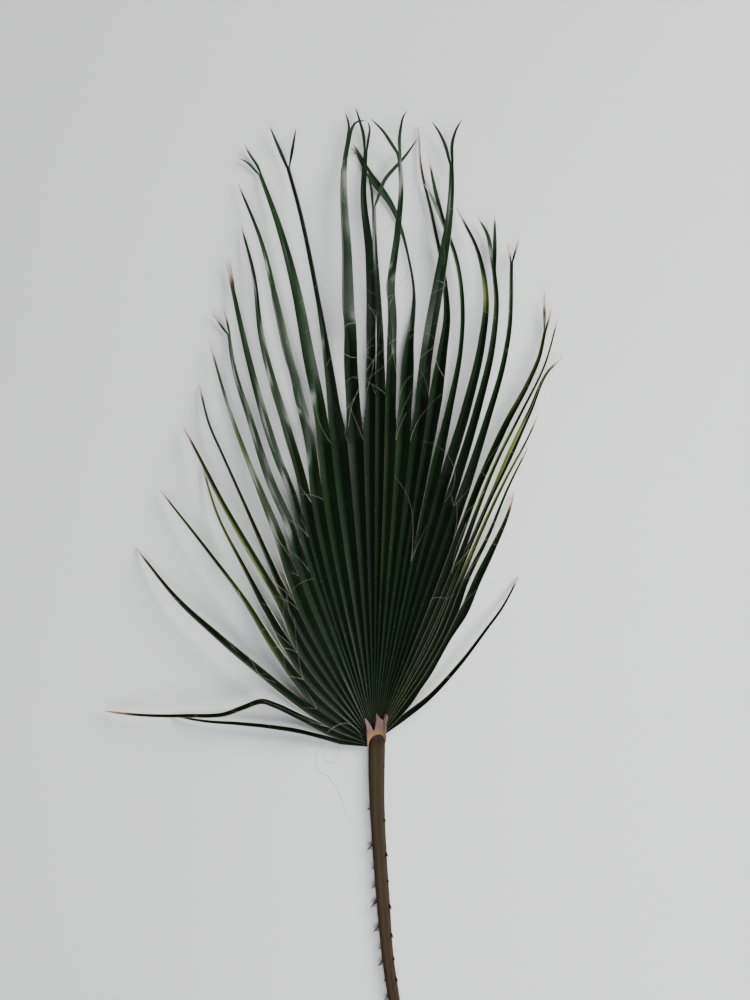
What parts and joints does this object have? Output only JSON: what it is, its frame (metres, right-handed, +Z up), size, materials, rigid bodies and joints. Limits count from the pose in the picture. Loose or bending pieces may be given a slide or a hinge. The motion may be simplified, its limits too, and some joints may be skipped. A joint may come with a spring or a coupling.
{
  "type": "fan palm leaf",
  "caption": "Cut fan palm leaf for use as greenery: a pleated fan of long folded segments with split tips, on a toothed stalk with a papery flap at its end.",
  "frame": {"origin": "on the flat underside of a middle midrib, where the leaf rests on the surface", "axes": "+Y from the stalk towards the tips of the fan, +Z up from the surface, +X to the right seen from above"},
  "size_m": [0.5729, 1.2062, 0.0495],
  "materials": {
    "blade": "deep green living leaf, waxy satin, with fine lengthwise veins and tan tips",
    "petiole": "smooth olive-brown leaf stalk, satin, with reddish-brown teeth",
    "hastula": "dry papery pinkish tan flap with dark red ragged edges"
  },
  "bodies": {
    "root": {"blade": "blade", "petiole": "petiole", "hastula": "hastula"}
  },
  "joints": []
}
